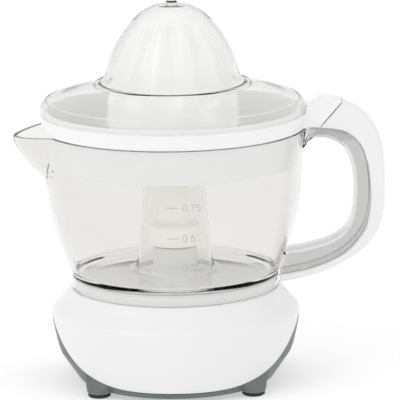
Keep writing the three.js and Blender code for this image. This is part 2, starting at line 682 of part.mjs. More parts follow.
function coneSection(a) {
  const wave = 0.5 - 0.5 * Math.cos(a * FLUTES);
  const depth = (z) => FLUTE_DEPTH * Math.sqrt(Math.max(0, Math.sin(Math.PI * (z - 170) / (CONE_TOP - 170))));
  const outer = coneOutline.map(([r, z]) => [r - wave * depth(z), z]);
  const socket = hexRadius(HEX_TOP + GAP, a);
  return [
    [CONE_SKIRT_R - 2.2, CONE_EDGE_Z], [CONE_SKIRT_R, CONE_EDGE_Z], ...outer, [0, CONE_TOP],
    [0, SPINDLE_TOP + 1.5], [socket, SPINDLE_TOP + 1.5], [socket, SPINDLE_SHOULDER_Z + GAP],
    [9.4, SPINDLE_SHOULDER_Z + GAP], [9.4, 156.2], [12.8, 156.2], [12.8, 158], [10.2, 160], [10.2, 207],
    [18, 206], [26, 192], [30.2, 180], [36.2, 170],
  ];
}

const cone = () => turned(coneSection, evenAngles(4 * FLUTES));

const thrustRing = () => ring(9.9, 12.8, 153.8, 155.8, 24);

const lidCrown = [[77.8, 171.2], [75, 172.6], [68, 175.3], [47.1, 181.2]];
const lidDome = smooth([[44.2, 182], [40.7, 186], [37.7, 196], [34.4, 203.4], [28.4, 213.4], [19.5, 223.4],
  [9, 228.9]], 6);

function lidSection() {
  const inner = [...lidDome].reverse().map(([r, z]) => [r - LID_WALL, z - LID_WALL / 2]);
  const crownInside = [...lidCrown].reverse().map(([r, z]) => [r - LID_WALL / 2, z - LID_WALL]);
  return [
    [LID_R - 2.1, LID_EDGE_Z], [LID_R, LID_EDGE_Z], [LID_R, 168.5], [79.2, 170.2], ...lidCrown,
    [46.6, 181.9], ...lidDome, [3.4, LID_TOP], [3.2, LID_TOP + 1.2], [0, LID_TOP + 1.3],
    [0, LID_TOP - LID_WALL], ...inner, ...crownInside.slice(0, -1), [LID_R - 2.1, 169.4],
  ];
}

const lid = () => turned(lidSection);

// ---------------------------------------------------------------- assembly

const juicer = new THREE.Group();
juicer.position.x = -(HANDLE_OUT - SPOUT_OUT) / 2;

function place(name, geometry, material, x = 0, y = 0) {
  const mesh = new THREE.Mesh(geometry, material());
  mesh.name = name;
  mesh.position.set(x, y, 0);
  juicer.add(mesh);
}

place('base_housing', baseHousing(), whitePlastic);
place('lower_shell', lowerShell(), greyPlastic);
CORNERS.forEach(([sx, sy], i) => place(`rubber_foot_${i + 1}`, foot(sx, sy), rubber));
BOSS_TURNS.forEach((turn, i) => {
  place(`base_screw_${i + 1}`, screw(...polar(BOSS_REACH, turn), 5.2, 1, 17), steel);
});
place('cord_gland', cordGland(), rubber);

place('gear_plate', gearPlate(), steel);
POST_TURNS.forEach((turn, i) => {
  place(`plate_screw_${i + 1}`, screw(...polar(POST_REACH, turn), 31.2, -1, 15), steel);
});
place('gearbox_cover', gearboxCover(), creamPlastic);
place('idler_axle', cylinder(AXLE_R, 24, 52, 0, 0, 16), steel, ...IDLER_AT);
place('idler_gear', idlerGear(), whitePlastic, ...IDLER_AT);
place('output_gear', outputGear(), whitePlastic);

place('motor_core', motorCore(), iron, ...MOTOR_AT);
place('motor_bobbin', motorBobbin(), blackPlastic, ...MOTOR_AT);
place('motor_coil', motorCoil(), copper, ...MOTOR_AT);
place('motor_bracket', motorBracket(), steel, ...MOTOR_AT);
place('motor_rotor', rotor(), iron, ...MOTOR_AT);
place('motor_pinion', motorPinion(), brass, ...MOTOR_AT);
[-14, 14].forEach((side, i) => {
  place(`motor_screw_${i + 1}`, screw(MOTOR_AT[0] + side, MOTOR_AT[1], 6.8, 1, 20), steel);
});

place('switch_body', switchBody(), blackPlastic);
place('switch_plunger', cylinder(1.6, 14, 21.2, 0, 0, 14), creamPlastic);
place('tower_bush', towerBush(), brass);
place('spindle', spindle(), creamPlastic);
place('return_spring', returnSpring(), steel);

place('jug', jug(), clearPlastic);
place('handle_cover', handleCover(), whitePlastic);
place('strainer', strainer(), whitePlastic);
place('thrust_ring', thrustRing(), creamPlastic);
place('reamer_cone', cone(), whitePlastic);
place('lid', lid(), clearPlastic);

export default juicer;
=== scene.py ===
"""Looks for the citrus press juicer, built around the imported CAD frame.

Lengths in the shapes are millimetres round the drive axis: x towards the handle, y away from the
viewer, z up. `placed` turns them into the frame's metres.
"""
import math

import bmesh
import bpy
from mathutils import Matrix, Vector


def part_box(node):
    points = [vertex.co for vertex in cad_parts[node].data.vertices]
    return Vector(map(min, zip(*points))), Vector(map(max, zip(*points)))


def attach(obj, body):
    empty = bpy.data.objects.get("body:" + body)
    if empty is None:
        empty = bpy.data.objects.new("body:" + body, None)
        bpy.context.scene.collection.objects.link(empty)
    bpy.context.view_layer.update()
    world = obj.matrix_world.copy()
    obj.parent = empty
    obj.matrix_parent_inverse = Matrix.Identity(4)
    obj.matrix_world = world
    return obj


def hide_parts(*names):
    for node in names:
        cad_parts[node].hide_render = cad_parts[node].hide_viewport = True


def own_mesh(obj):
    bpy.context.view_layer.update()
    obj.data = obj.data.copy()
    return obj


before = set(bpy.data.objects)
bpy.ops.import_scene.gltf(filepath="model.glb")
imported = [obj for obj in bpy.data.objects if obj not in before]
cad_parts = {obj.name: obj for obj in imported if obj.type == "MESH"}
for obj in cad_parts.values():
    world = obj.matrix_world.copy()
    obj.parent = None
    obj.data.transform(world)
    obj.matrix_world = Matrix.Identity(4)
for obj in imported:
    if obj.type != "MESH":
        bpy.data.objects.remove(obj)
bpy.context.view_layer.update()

MM = 0.001
TAU = 2 * math.pi
spindle_low, spindle_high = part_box("spindle")
AXIS_X = (spindle_low.x + spindle_high.x) / 2


# ------------------------------------------------------------------ numbers shared by several pieces

GAP = 0.4                                           # air between pieces that would touch
FRONT = -math.pi / 2
CORNERS = ((1, 1), (-1, 1), (-1, -1), (1, -1))
BASE_LOW = 4.0                                      # the height where FLARE and TUCK are reached
SHOULDER_R = 75.3                                   # the base at its widest
SHOULDER_Z = 41.5
FLARE = 8.6                                         # how much narrower the base is at its foot
LEDGE_R = 63.4                                      # the jug stands here
LEDGE_Z = 57.2
FOOT_AT = 46.0                                      # foot centres, along x and along y
FOOT_R = 6.8
SCREW_REACH = 52                                    # the three screws that join the base's halves
SCREW_TURNS = [math.radians(degrees) for degrees in (20, 200, 270)]
RIM_R = 79.5                                        # the jug's rim
RIM_Z = 154.6
JUG_WALL = 2.3
SPOUT_HALF = math.radians(26)                       # half the spout's angle at the rim
SPOUT_OUT = 96.4
SPOUT_DROP = 3.8                                    # how far the rim dips at the spout
BAND_R = 79.3                                       # the strainer's band


# ------------------------------------------------------------------ outlines

def spline(points, count):
    """Catmull-Rom curve through the points, with count + 1 points evenly spread over its spans."""
    out = []
    last = len(points) - 1
    for i in range(count + 1):
        at = min(i / count * last, last - 1e-9)
        k = int(at)
        t = at - k
        p0, p1 = points[max(0, k - 1)], points[k]
        p2, p3 = points[k + 1], points[min(last, k + 2)]
        out.append(tuple(
            (2 * b - 2 * c + (c - a) / 2 + (d - b) / 2) * t ** 3
            + (-3 * b + 3 * c - (c - a) - (d - b) / 2) * t ** 2 + (c - a) / 2 * t + b
            for a, b, c, d in zip(p0, p1, p2, p3)))
    return out


def even(points, count):
    """The same polyline with count + 1 points at equal steps along it."""
    lengths = [0.0]
    for p, q in zip(points, points[1:]):
        lengths.append(lengths[-1] + math.dist(p, q))
    out = []
    k = 0
    for i in range(count + 1):
        at = lengths[-1] * i / count
        while k < len(points) - 2 and lengths[k + 1] < at:
            k += 1
        t = (at - lengths[k]) / max(1e-9, lengths[k + 1] - lengths[k])
        out.append(tuple(a + (b - a) * t for a, b in zip(points[k], points[k + 1])))
    return out


def offset(points, distance):
    """The polyline moved sideways, to the left of its direction."""
    out = []
    for i, (x, y) in enumerate(points):
        x0, y0 = points[max(0, i - 1)]
        x1, y1 = points[min(len(points) - 1, i + 1)]
        length = math.hypot(x1 - x0, y1 - y0)
        out.append((x - distance * (y1 - y0) / length, y + distance * (x1 - x0) / length))
    return out


def rounded(corners, steps=3):
    """A closed outline with its corners rounded. A corner is (x, y) or (x, y, radius)."""
    out = []
    for i, corner in enumerate(corners):
        p = Vector(corner[:2])
        a = Vector(corners[i - 1][:2]) - p
        b = Vector(corners[(i + 1) % len(corners)][:2]) - p
        radius = corner[2] if len(corner) > 2 else 0
        if not radius or min(a.length, b.length) < 1e-6:
            out.append((p.x, p.y))
            continue
        half = max(0.05, a.angle(b) / 2)
        reach = min(radius / math.tan(half), 0.46 * a.length, 0.46 * b.length)
        start = p + a.normalized() * reach
        end = p + b.normalized() * reach
        for s in range(steps + 1):
            t = s / steps
            q = start * (1 - t) ** 2 + p * (2 * t * (1 - t)) + end * t ** 2
            out.append((q.x, q.y))
    return out


def circle_turns(steps):
    return [i * TAU / steps for i in range(steps)]


# ------------------------------------------------------------------ meshes

def placed(points):
    return [(x * MM + AXIS_X, y * MM, z * MM) for x, y, z in points]


def solid(name, points, faces, sharp=32):
    """An object from points in millimetres, smooth except along edges sharper than `sharp` degrees."""
    mesh = bpy.data.meshes.new(name)
    mesh.from_pydata(placed(points), [], faces)
    obj = bpy.data.objects.new(name, mesh)
    bpy.context.scene.collection.objects.link(obj)
    clean(obj, sharp)
    return obj


def clean(obj, sharp=32):
    """Merges equal points, turns the faces outwards and sets the shading."""
    edit = bmesh.new()
    edit.from_mesh(obj.data)
    bmesh.ops.remove_doubles(edit, verts=edit.verts, dist=2e-6)
    bmesh.ops.dissolve_degenerate(edit, edges=edit.edges, dist=1e-7)
    bmesh.ops.recalc_face_normals(edit, faces=edit.faces)
    edit.to_mesh(obj.data)
    edit.free()
    shade(obj, sharp)


def shade(obj, sharp=32):
    for face in obj.data.polygons:
        face.use_smooth = True
    obj.data.set_sharp_from_angle(angle=math.radians(sharp))


def swept(section_at, turns):
    """A closed section carried once round the axis."""
    rows = [[(r * math.cos(a), r * math.sin(a), z) for r, z in section_at(a)] for a in turns]
    return skin(rows, closed=True)


def skin(rows, closed=False):
    """Faces between neighbouring closed rings of points, with end caps unless the rings close up."""
    n = len(rows[0])
    faces = []
    for i in range(len(rows) if closed else len(rows) - 1):
        j = (i + 1) % len(rows)
        for k in range(n):
            m = (k + 1) % n
            faces.append((i * n + k, j * n + k, j * n + m, i * n + m))
    if not closed:
        faces.append(tuple(range(n)))
        faces.append(tuple(range((len(rows) - 1) * n, len(rows) * n)))
    return [p for row in rows for p in row], faces


def lofted(inner, outer, section_at, stations):
    """Rings between an inner and an outer line in the plane y = 0. The section's first number runs
    from the inner line to the outer one, and its second is y."""
    rows = []
    for i, (p, q) in enumerate(zip(even(inner, stations), even(outer, stations))):
        across = math.dist(p, q)
        way = ((q[0] - p[0]) / across, (q[1] - p[1]) / across)
        rows.append([(p[0] + u * way[0], v, p[1] + u * way[1])
                     for u, v in section_at(i / stations, across)])
    return skin(rows)


def turned_piece(name, corners, steps, sharp=32):
    outline = rounded(corners)
    return solid(name, *swept(lambda a: outline, circle_turns(steps)), sharp=sharp)


def rod(radius, z0, z1, x=0.0, y=0.0):
    rows = [[(x + radius * math.cos(a), y + radius * math.sin(a), z) for a in circle_turns(32)]
            for z in (z0, z1)]
    return solid("rod", *skin(rows))


def rods(reach, turns, radius, z0, z1):
    """Upright rods with their middles `reach` millimetres from the drive axis."""
    return [rod(radius, z0, z1, reach * math.cos(t), reach * math.sin(t)) for t in turns]


def box_piece(low, high):
    rows = [[(low[0], low[1], z), (high[0], low[1], z), (high[0], high[1], z), (low[0], high[1], z)]
            for z in (low[2], high[2])]
    return solid("box", *skin(rows))


def joined(name, pieces):
    """One object holding several separate meshes."""
    mesh = bpy.data.meshes.new(name)
    edit = bmesh.new()
    for piece in pieces:
        piece.data.transform(piece.matrix_world)
        edit.from_mesh(piece.data)
        bpy.data.objects.remove(piece)
    edit.to_mesh(mesh)
    edit.free()
    obj = bpy.data.objects.new(name, mesh)
    bpy.context.scene.collection.objects.link(obj)
    return obj


def combine(obj, tool, operation):
    """Joins the tool to obj ("UNION") or cuts it away ("DIFFERENCE"), and removes the tool."""
    step = obj.modifiers.new("combine", "BOOLEAN")
    step.object = tool
    step.operation = operation
    step.solver = "EXACT"
    bpy.context.view_layer.update()
    shown = obj.evaluated_get(bpy.context.evaluated_depsgraph_get())
    mesh = bpy.data.meshes.new_from_object(shown)
    obj.modifiers.clear()
    obj.data = mesh
    bpy.data.objects.remove(tool)
    clean(obj)


def moved(obj, matrix):
    obj.data.transform(matrix)
    return obj


def about_axis(turn):
    return (Matrix.Translation((AXIS_X, 0, 0)) @ Matrix.Rotation(turn, 4, "Z")
            @ Matrix.Translation((-AXIS_X, 0, 0)))


def finished(obj, material, slot, body, *nodes):
    """Gives a piece its material and its body, and hides the CAD nodes that it stands for. `slot` is not
    used.
    """
    obj.data.materials.clear()
    obj.data.materials.append(material)
    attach(obj, body)
    if nodes:
        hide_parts(*nodes)


# ------------------------------------------------------------------ materials

def node(tree, kind, **inputs):
    made = tree.nodes.new(kind)
    for key, value in inputs.items():
        made.inputs[key.replace("_", " ")].default_value = value
    return made


def noise(tree, scale, detail=3.0, stretch=(1, 1, 1)):
    """Noise in the object's own metres, stretched along an axis by a larger number there."""
    place = tree.nodes.new("ShaderNodeTexCoord")
    mapping = tree.nodes.new("ShaderNodeMapping")
    mapping.inputs["Scale"].default_value = [1 / s for s in stretch]
    made = node(tree, "ShaderNodeTexNoise", Scale=scale, Detail=detail)
    tree.links.new(place.outputs["Object"], mapping.inputs["Vector"])
    tree.links.new(mapping.outputs["Vector"], made.inputs["Vector"])
    return made.outputs["Fac"]


def as_colour(value):
    return value if isinstance(value, tuple) else (value, value, value, 1)


def ramp(tree, source, low, high, start=0.3, end=0.7):
    """source from start to end becomes a value from low to high; four numbers make a colour."""
    made = tree.nodes.new("ShaderNodeValToRGB")
    made.color_ramp.elements[0].position = start
    made.color_ramp.elements[0].color = as_colour(low)
    made.color_ramp.elements[1].position = end
    made.color_ramp.elements[1].color = as_colour(high)
    tree.links.new(source, made.inputs["Fac"])
    return made.outputs["Color"]


def worn(tree, colour, amount, tint):
    """Mixes a tint in along the convex edges."""
    shape = tree.nodes.new("ShaderNodeNewGeometry")
    edge = ramp(tree, shape.outputs["Pointiness"], 0.0, amount, 0.52, 0.62)
    mix = tree.nodes.new("ShaderNodeMixRGB")
    mix.inputs["Color2"].default_value = tint
    tree.links.new(edge, mix.inputs["Fac"])
    tree.links.new(colour, mix.inputs["Color1"])
    return mix.outputs["Color"]


def bumped(tree, shader, layers):
    """Adds bumps. A layer is (height output, strength, distance in metres)."""
    normal = None
    for height, strength, distance in layers:
        bump = node(tree, "ShaderNodeBump", Strength=strength, Distance=distance)
        tree.links.new(height, bump.inputs["Height"])
        if normal:
            tree.links.new(normal, bump.inputs["Normal"])
        normal = bump.outputs["Normal"]
    tree.links.new(normal, shader.inputs["Normal"])


def shader_of(name):
    material = bpy.data.materials.new(name)
    material.use_nodes = True
    return material, material.node_tree, material.node_tree.nodes["Principled BSDF"]


def moulded(name, colour, shade_to, rough, grain=900.0, grain_strength=0.06, wear=0.25, metal=0.0,
            wear_tint=None, cloud=14.0, under=0.0, glow=0.0):
    """A moulded or machined surface: soft clouds of tone, fine grain, scuffs and paler edges. `under` is
    the share of light that passes under the surface, and `glow` is painted light, a slight glow that
    brightens a piece where too little light reaches it."""
    material, tree, shader = shader_of(name)
    tone = ramp(tree, noise(tree, cloud, 4.0), colour, shade_to)
    tint = wear_tint or tuple(min(1.0, c * 1.06) for c in colour[:3]) + (1,)
    tree.links.new(worn(tree, tone, wear, tint), shader.inputs["Base Color"])
    scuffs = ramp(tree, noise(tree, 240.0, 6.0, (1, 1, 3)), rough - 0.004, rough + 0.01, 0.2, 0.9)
    tree.links.new(scuffs, shader.inputs["Roughness"])
    shader.inputs["Metallic"].default_value = metal
    if under:
        shader.inputs["Subsurface Weight"].default_value = under
        shader.inputs["Subsurface Radius"].default_value = (1.0, 0.95, 0.9)
        shader.inputs["Subsurface Scale"].default_value = 0.0015
    # painted light: the surface glows slightly, though it is no lamp
    if glow:
        shader.inputs["Emission Color"].default_value = colour
        shader.inputs["Emission Strength"].default_value = glow
    bumped(tree, shader, [
        (noise(tree, grain, 2.0), grain_strength, 0.00012),
        (noise(tree, 45.0, 1.0), 0.02, 0.0004),
    ])
    return material


def tint_by_share(tree, tints):
    """The colour that a vertex's tint_share picks out of (tint_share, colour) pairs."""
    share = tree.nodes.new("ShaderNodeAttribute")
    share.attribute_name = "tint_share"
    colours = tree.nodes.new("ShaderNodeValToRGB")
    for i, (at, colour) in enumerate(tints):
        stop = colours.color_ramp.elements[i] if i < 2 else colours.color_ramp.elements.new(at)
        stop.position = at
        stop.color = colour
    tree.links.new(share.outputs["Fac"], colours.inputs["Fac"])
    return colours.outputs["Color"]


def clear(name, rough, bend, tint=(1, 1, 1, 1), tints=(), depth=0.0):
    """Polished clear plastic that lets lamps and soft light through, with faint scuffs and flow ripples.
    It has one tint, or tints as (tint_share, colour) pairs, and `depth` darkens it by its thickness."""
    material, tree, shader = shader_of(name)
    shader.inputs["Transmission Weight"].default_value = 1.0
    shader.inputs["IOR"].default_value = bend
    clouded = node(tree, "ShaderNodeMixRGB", Fac=1.0, Color2=tint)
    clouded.blend_type = "MULTIPLY"
    tree.links.new(ramp(tree, noise(tree, 9.0, 2.0), 1.0, 0.99), clouded.inputs["Color1"])
    if tints:
        tree.links.new(tint_by_share(tree, tints), clouded.inputs["Color2"])
    tree.links.new(clouded.outputs["Color"], shader.inputs["Base Color"])
    scuffs = ramp(tree, noise(tree, 220.0, 6.0, (1, 1, 4)), rough, rough + 0.05, 0.45, 0.8)
    tree.links.new(scuffs, shader.inputs["Roughness"])
    bumped(tree, shader, [(noise(tree, 38.0, 1.0), 0.015, 0.0004)])
    passed = node(tree, "ShaderNodeBsdfTransparent", Color=(0.995, 0.995, 0.992, 1))
    rays = tree.nodes.new("ShaderNodeLightPath")
    surface = shader.outputs["BSDF"]
    for ray in ("Is Diffuse Ray", "Is Shadow Ray"):
        choice = tree.nodes.new("ShaderNodeMixShader")
        tree.links.new(rays.outputs[ray], choice.inputs["Fac"])
        tree.links.new(surface, choice.inputs[1])
        tree.links.new(passed.outputs["BSDF"], choice.inputs[2])
        surface = choice.outputs["Shader"]
    tree.links.new(surface, tree.nodes["Material Output"].inputs["Surface"])
    if depth:
        absorbing = node(tree, "ShaderNodeVolumeAbsorption", Color=(0.5, 0.49, 0.46, 1), Density=depth)
        tree.links.new(absorbing.outputs["Volume"], tree.nodes["Material Output"].inputs["Volume"])
    return material


WHITE = moulded("white_moulded", (0.855, 0.857, 0.855, 1), (0.835, 0.838, 0.838, 1), 0.24,
                grain_strength=0.04, wear=0.3, wear_tint=(0.9, 0.9, 0.895, 1), under=0.04)
PALE = moulded("white_strainer", (0.9, 0.902, 0.9, 1), (0.885, 0.887, 0.887, 1), 0.26,
               grain_strength=0.04, wear=0.03, under=0.04)
# painted light: the cone's white glows slightly, though it is no lamp, to make up for light lost through the
# lid
BRIGHT = moulded("white_cone", (0.955, 0.957, 0.958, 1), (0.94, 0.943, 0.945, 1), 0.22,
                 grain_strength=0.03, wear=0.2, wear_tint=(0.97, 0.97, 0.97, 1), under=0.05, glow=0.03)
GREY = moulded("grey_moulded", (0.125, 0.148, 0.143, 1), (0.142, 0.167, 0.161, 1), 0.42, grain=700.0,
               grain_strength=0.16, wear=0.4, wear_tint=(0.2, 0.225, 0.22, 1))
# the cream is the drive's own colour, set lighter and given a slight glow as painted light, to make up for
# light lost through the clear jug
CREAM = moulded("cream_moulded", (0.965, 0.95, 0.915, 1), (0.955, 0.935, 0.89, 1), 0.32,
                grain_strength=0.05, wear=0.3, wear_tint=(0.97, 0.96, 0.93, 1), under=0.05, glow=0.07)
GEAR = moulded("gear_moulded", (0.83, 0.82, 0.77, 1), (0.8, 0.79, 0.73, 1), 0.38, wear=0.4)
RUBBER = moulded("black_rubber", (0.014, 0.014, 0.015, 1), (0.024, 0.024, 0.025, 1), 0.72, grain=1200.0,
                 grain_strength=0.3, wear=0.4, wear_tint=(0.06, 0.06, 0.06, 1))
BLACK = moulded("black_moulded", (0.018, 0.018, 0.019, 1), (0.03, 0.03, 0.032, 1), 0.42,
                grain_strength=0.15, wear=0.4, wear_tint=(0.08, 0.08, 0.085, 1))
STEEL = moulded("zinc_steel", (0.56, 0.57, 0.58, 1), (0.46, 0.47, 0.48, 1), 0.3, metal=1.0, cloud=60.0,
                grain_strength=0.12, wear_tint=(0.72, 0.73, 0.74, 1))
IRON = moulded("core_iron", (0.2, 0.2, 0.21, 1), (0.14, 0.135, 0.13, 1), 0.45, metal=0.9, cloud=80.0,
               grain_strength=0.2, wear_tint=(0.4, 0.4, 0.42, 1))
COPPER = moulded("copper_wire", (0.62, 0.27, 0.12, 1), (0.5, 0.2, 0.09, 1), 0.32, metal=1.0, cloud=90.0,
                 grain_strength=0.25, wear_tint=(0.8, 0.42, 0.25, 1))
BRASS = moulded("pinion_brass", (0.72, 0.53, 0.24, 1), (0.62, 0.44, 0.19, 1), 0.28, metal=1.0, cloud=70.0,
                grain_strength=0.12, wear_tint=(0.85, 0.68, 0.38, 1))
INK = moulded("scale_ink", (0.42, 0.43, 0.42, 1), (0.5, 0.51, 0.5, 1), 0.5, wear=0.1)

# A tint_share says how a part of the jug is tinted. It runs from its column, tinted lighter than the wall as
# painted light, to an edge seen end on, tinted nearly black as a painted dark line that stands in for the
# shade such an edge shows.
# painted light: the column and the floor are tinted lighter than the wall, so the parts seen through them
# look brighter
COLUMN_PAINTED_LIGHT = 0.0
WALL_TINT = 0.3
GRIP_TINT = 0.6
# painted shade: the grip's lips and the floor's outer edge are tinted dark, standing in for the dark lines
# these edges show
LIP_PAINTED_SHADE = 0.8
# painted shade: the rim's top is tinted nearly black, a dark line standing in for the shade of an edge seen
# end on
EDGE_PAINTED_SHADE = 1.0
CLEAR = clear("clear_moulded", rough=0.015, bend=1.16, tints=(
    (COLUMN_PAINTED_LIGHT, (0.965, 0.962, 0.952, 1)),
    (WALL_TINT, (0.895, 0.89, 0.878, 1)),
    (GRIP_TINT, (0.76, 0.755, 0.753, 1)),
    (EDGE_PAINTED_SHADE, (0.1, 0.09, 0.09, 1)),
))
LID_CLEAR = clear("clear_lid", rough=0.03, bend=1.25, tint=(0.98, 0.978, 0.973, 1), depth=24.0)


# ------------------------------------------------------------------ base

KEEL_Z = 6.5                                        # the housing's lowest edge, front and back
KEEL_RISE = 34                                      # how far that edge climbs towards the sides
KEEL_TOP = 40.5
TUCK = 6.5                                          # how far the lower shell tucks in at the sides
TUCK_Z = 19
HOUSING_WALL = 2.4
SHELL_WALL = 2.7
SHELL_LOW = 3.2


def keel_at(a):
    """The height of the white housing's lower edge."""
    side = math.asin(min(1.0, abs(math.cos(a))))
    return min(KEEL_TOP, KEEL_Z + KEEL_RISE * (side / math.radians(80)) ** 3.5)


def base_r(z):
    """The base's outline up to its shoulder."""
    return SHOULDER_R - FLARE * max(0.0, (SHOULDER_Z - z) / (SHOULDER_Z - BASE_LOW)) ** 1.25


def hull_r(a, z):
    """The same outline with the lower shell's tucked sides."""
    return base_r(z) - TUCK * math.cos(a) ** 2 * max(0.0, (TUCK_Z - z) / (TUCK_Z - BASE_LOW))


def housing_section(a):
    edge = keel_at(a)
    heights = [edge + t / 10 * (SHOULDER_Z - edge) for t in range(11)]
    outer = [(base_r(z), z) for z in heights]
    outer[0] = (*outer[0], 0.5)
    inner = [(base_r(z) - HOUSING_WALL, z) for z in reversed(heights)]
    inner[-1] = (*inner[-1], 0.4)
    return rounded([
        *outer, (74.9, 43.6, 1.5), (74.0, 45.2, 2), (67.8, 51.8, 14), (64.0, 56.6, 1.0),
        (LEDGE_R, LEDGE_Z, 0.5), (59, LEDGE_Z, 0.5), (59, 62.4, 1.2), (30, 62.75), (16.5, 63, 3),
        (13.6, 66, 2), (13.15, 80.9, 0.5), (12.9, 82, 0.7), (10.4, 82, 0.4), (10.4, 69.6), (9.4, 69.6),
        (9.4, 60, 1), (56.6, 60, 1), (56.6, 54.8, 1), (62, 54.8, 1), (65.9, 50.6, 4), *inner,
    ])


housing = solid("juicer_base_housing", *swept(housing_section, circle_turns(240)))
combine(housing, joined("bosses", rods(SCREW_REACH, SCREW_TURNS, 3.6, 10.8, 61)), "UNION")

GLAND_TURN = math.pi / 3
GLAND_TILT = math.radians(14.6)
GLAND_Z = 16
gland_r = base_r(GLAND_Z)
gland_middle = placed([(gland_r * math.cos(GLAND_TURN), gland_r * math.sin(GLAND_TURN), GLAND_Z)])[0]
GLAND_AT = (Matrix.Translation(gland_middle) @ Matrix.Rotation(GLAND_TURN, 4, "Z")
            @ Matrix.Rotation(math.pi / 2 + GLAND_TILT, 4, "Y") @ Matrix.Translation((-AXIS_X, 0, 0)))
pilots = rods(SCREW_REACH, SCREW_TURNS, 1.9, 10, 24)
inlet = moved(rod(4.7, -8, 8), GLAND_AT)
combine(housing, joined("cuts", [*pilots, inlet]), "DIFFERENCE")
finished(housing, WHITE, "white_plastic", "base", "base_housing")

LEG_LOW = 2.3
LEG_H = 12
LEG_R = 7.3                                         # a leg at its foot
LEG_WIDENS = 5.7
LEG_LEAN = 4                                        # how far a leg's top leans in towards the axis
LEG_PROUD = 6.5                                     # how far a leg can stand out of the hull at its foot
LEG_INSET = 0.55                                    # how far its top stays inside the hull
LEG_STEPS = 12
POST_REACH = 38.5                                   # the posts under the gear plate
POST_TURNS = [math.radians(degrees) for degrees in (0, 215, 270)]


def shell_section(a):
    top = keel_at(a) - GAP
    heights = [SHELL_LOW + t / 8 * (top - SHELL_LOW) for t in range(9)]
    outer = [(hull_r(a, z), z) for z in heights]
    outer[0] = (*outer[0], 1.2)
    outer[-1] = (*outer[-1], 0.4)
    inner = [(hull_r(a, z) - SHELL_WALL, max(z, 6)) for z in reversed(heights)]
    return rounded([*outer, *inner, (0, 6), (0, SHELL_LOW)])


def shell_leg(sx, sy):
    """A short leg that widens upwards. It stands out of the hull at its foot and is kept inside the
    base's outline above the white housing's edge."""
    rows = []
    for step in range(LEG_STEPS + 1):
        t = step / LEG_STEPS
        z = LEG_LOW + LEG_H * t
        r = LEG_R + LEG_WIDENS * t
        if step == 0:
            r -= 0.5
        at = FOOT_AT - LEG_LEAN * t
        row = []
        for a in circle_turns(40):
            x, y = sx * at + r * math.cos(a), sy * at + r * math.sin(a)
            edge = keel_at(math.atan2(y, x)) - GAP
            proud = LEG_PROUD * max(0.0, (edge - z) / max(0.1, edge - LEG_LOW))
            scale = min(1.0, (base_r(z) - LEG_INSET + proud) / math.hypot(x, y))
            row.append((x * scale, y * scale, z))
        rows.append(row)
    return solid("leg", *skin(rows))


shell = solid("juicer_lower_shell", *swept(shell_section, circle_turns(240)))
combine(shell, joined("legs", [shell_leg(sx, sy) for sx, sy in CORNERS]), "UNION")
inside = joined("inside", [
    *rods(SCREW_REACH, SCREW_TURNS, 5, 4.5, 10.4),
    *rods(POST_REACH, POST_TURNS, 3.6, 5, 25.6),
    box_piece((10.5, -5, 5), (12, 5, 12)),
    box_piece((-12, -5, 5), (-10.5, 5, 12)),
])
combine(shell, inside, "UNION")


def slot_cutter(length, width, z0, z1):
    """A prism with round ends, long along x and centred on the drive axis."""
    straight = length / 2 - width / 2
    ring = [(side * straight + width / 2 * math.cos(a), width / 2 * math.sin(a))
            for side, start in ((1, -math.pi / 2), (-1, math.pi / 2))
            for a in [start + i * math.pi / 8 for i in range(9)]]
    return [[(x, y, z) for x, y in ring] for z in (z0, z1)]


def shifted(rows, x, y):
    return [[(px + x, py + y, pz) for px, py, pz in row] for row in rows]


def above_edge_section(a):
    """The room above the housing's edge, from just inside the housing's wall outwards."""
    edge = keel_at(a)
    inset = 3.4
    return [(base_r(edge) - inset, edge - GAP), (90, edge - GAP), (90, 60), (base_r(60) - inset, 60)]


above_edge = solid("above_edge", *swept(above_edge_section, circle_turns(120)))
combine(shell, above_edge, "DIFFERENCE")
vents = [solid("vent", *skin(shifted(slot_cutter(28, 2.4, 3, 8), 0, 36 + 6 * i))) for i in range(-2, 3)]
screw_heads = rods(SCREW_REACH, SCREW_TURNS, 3.3, 3, 7.8)
screw_holes = rods(SCREW_REACH, SCREW_TURNS, 1.9, 7, 11)
combine(shell, joined("cuts", [*screw_heads, *screw_holes, *vents]), "DIFFERENCE")
finished(shell, GREY, "grey_plastic", "base", "lower_shell")

for number, (sx, sy) in enumerate(CORNERS, 1):
    foot = turned_piece(f"juicer_foot_{number}", [
        (0, 0.5), (2.9, 0.5, 0.3), (3.3, 0, 0.2), (5.8, 0, 0.3), (FOOT_R, 0.8, 0.5), (FOOT_R, 1.9, 0.15),
        (0, 1.9)], steps=48)
    moved(foot, Matrix.Translation((sx * FOOT_AT * MM, sy * FOOT_AT * MM, 0)))
    finished(foot, RUBBER, "black_rubber", "base", f"rubber_foot_{number}")

gland = turned_piece("juicer_cord_gland", [
    (2.6, 4, 0.5), (4.6, 4, 0.8), (6.1, 3.4, 0.9), (6.5, 2.2, 0.4), (6.5, 0.9, 0.2), (4.3, 0.9), (4.3, -3.2),
    (5.9, -3.2, 0.2), (5.9, -5, 0.3), (2.6, -5, 0.2)], steps=48)
moved(gland, GLAND_AT)
finished(gland, RUBBER, "black_rubber", "base", "cord_gland")


# ------------------------------------------------------------------ spindle

def hexagon(apothem, a, softness=0.97):
    """The radius of a hexagon at an angle, with its corners blunted."""
    to_corner = apothem / math.cos(a % (TAU / 6) - TAU / 12)
    return min(to_corner, apothem / math.cos(math.pi / 6) * softness)


